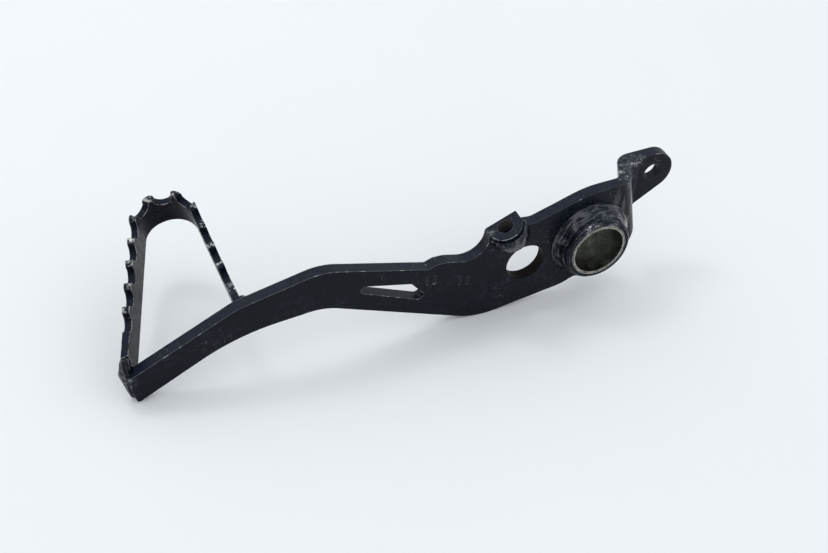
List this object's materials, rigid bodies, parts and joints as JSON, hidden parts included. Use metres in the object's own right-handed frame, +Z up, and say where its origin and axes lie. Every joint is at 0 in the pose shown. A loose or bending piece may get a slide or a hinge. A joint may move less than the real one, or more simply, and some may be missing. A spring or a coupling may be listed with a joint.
{
  "type": "brake pedal",
  "caption": "Flat steel foot brake pedal for a motorcycle, with pivot tube, serrated toe loop, offset clevis lug and tapped adjuster boss.",
  "frame": {"origin": "on the pivot axis, in the plane of the arm's inboard face", "axes": "+X forward along the arm to the toe, +Y inboard along the pivot axis, +Z up"},
  "size_m": [0.2425, 0.0821, 0.0537],
  "materials": {
    "arm_paint": "semi-gloss black paint",
    "loop_paint": "semi-gloss black paint, worn on the teeth",
    "tube_paint": "semi-gloss black paint",
    "bush_steel": "machined, greasy",
    "boss_paint": "semi-gloss black paint",
    "weld_paint": "semi-gloss black paint over weld beads"
  },
  "bodies": {
    "root": {"arm_plate": "arm_paint", "toe_loop": "loop_paint", "pivot_tube": "tube_paint", "pivot_bush": "bush_steel", "adjuster_boss": "boss_paint", "pivot_weld_inboard": "weld_paint", "pivot_weld_outboard": "weld_paint", "boss_weld": "weld_paint", "toe_loop_front_weld": "weld_paint", "toe_loop_rear_weld": "weld_paint"}
  },
  "joints": []
}
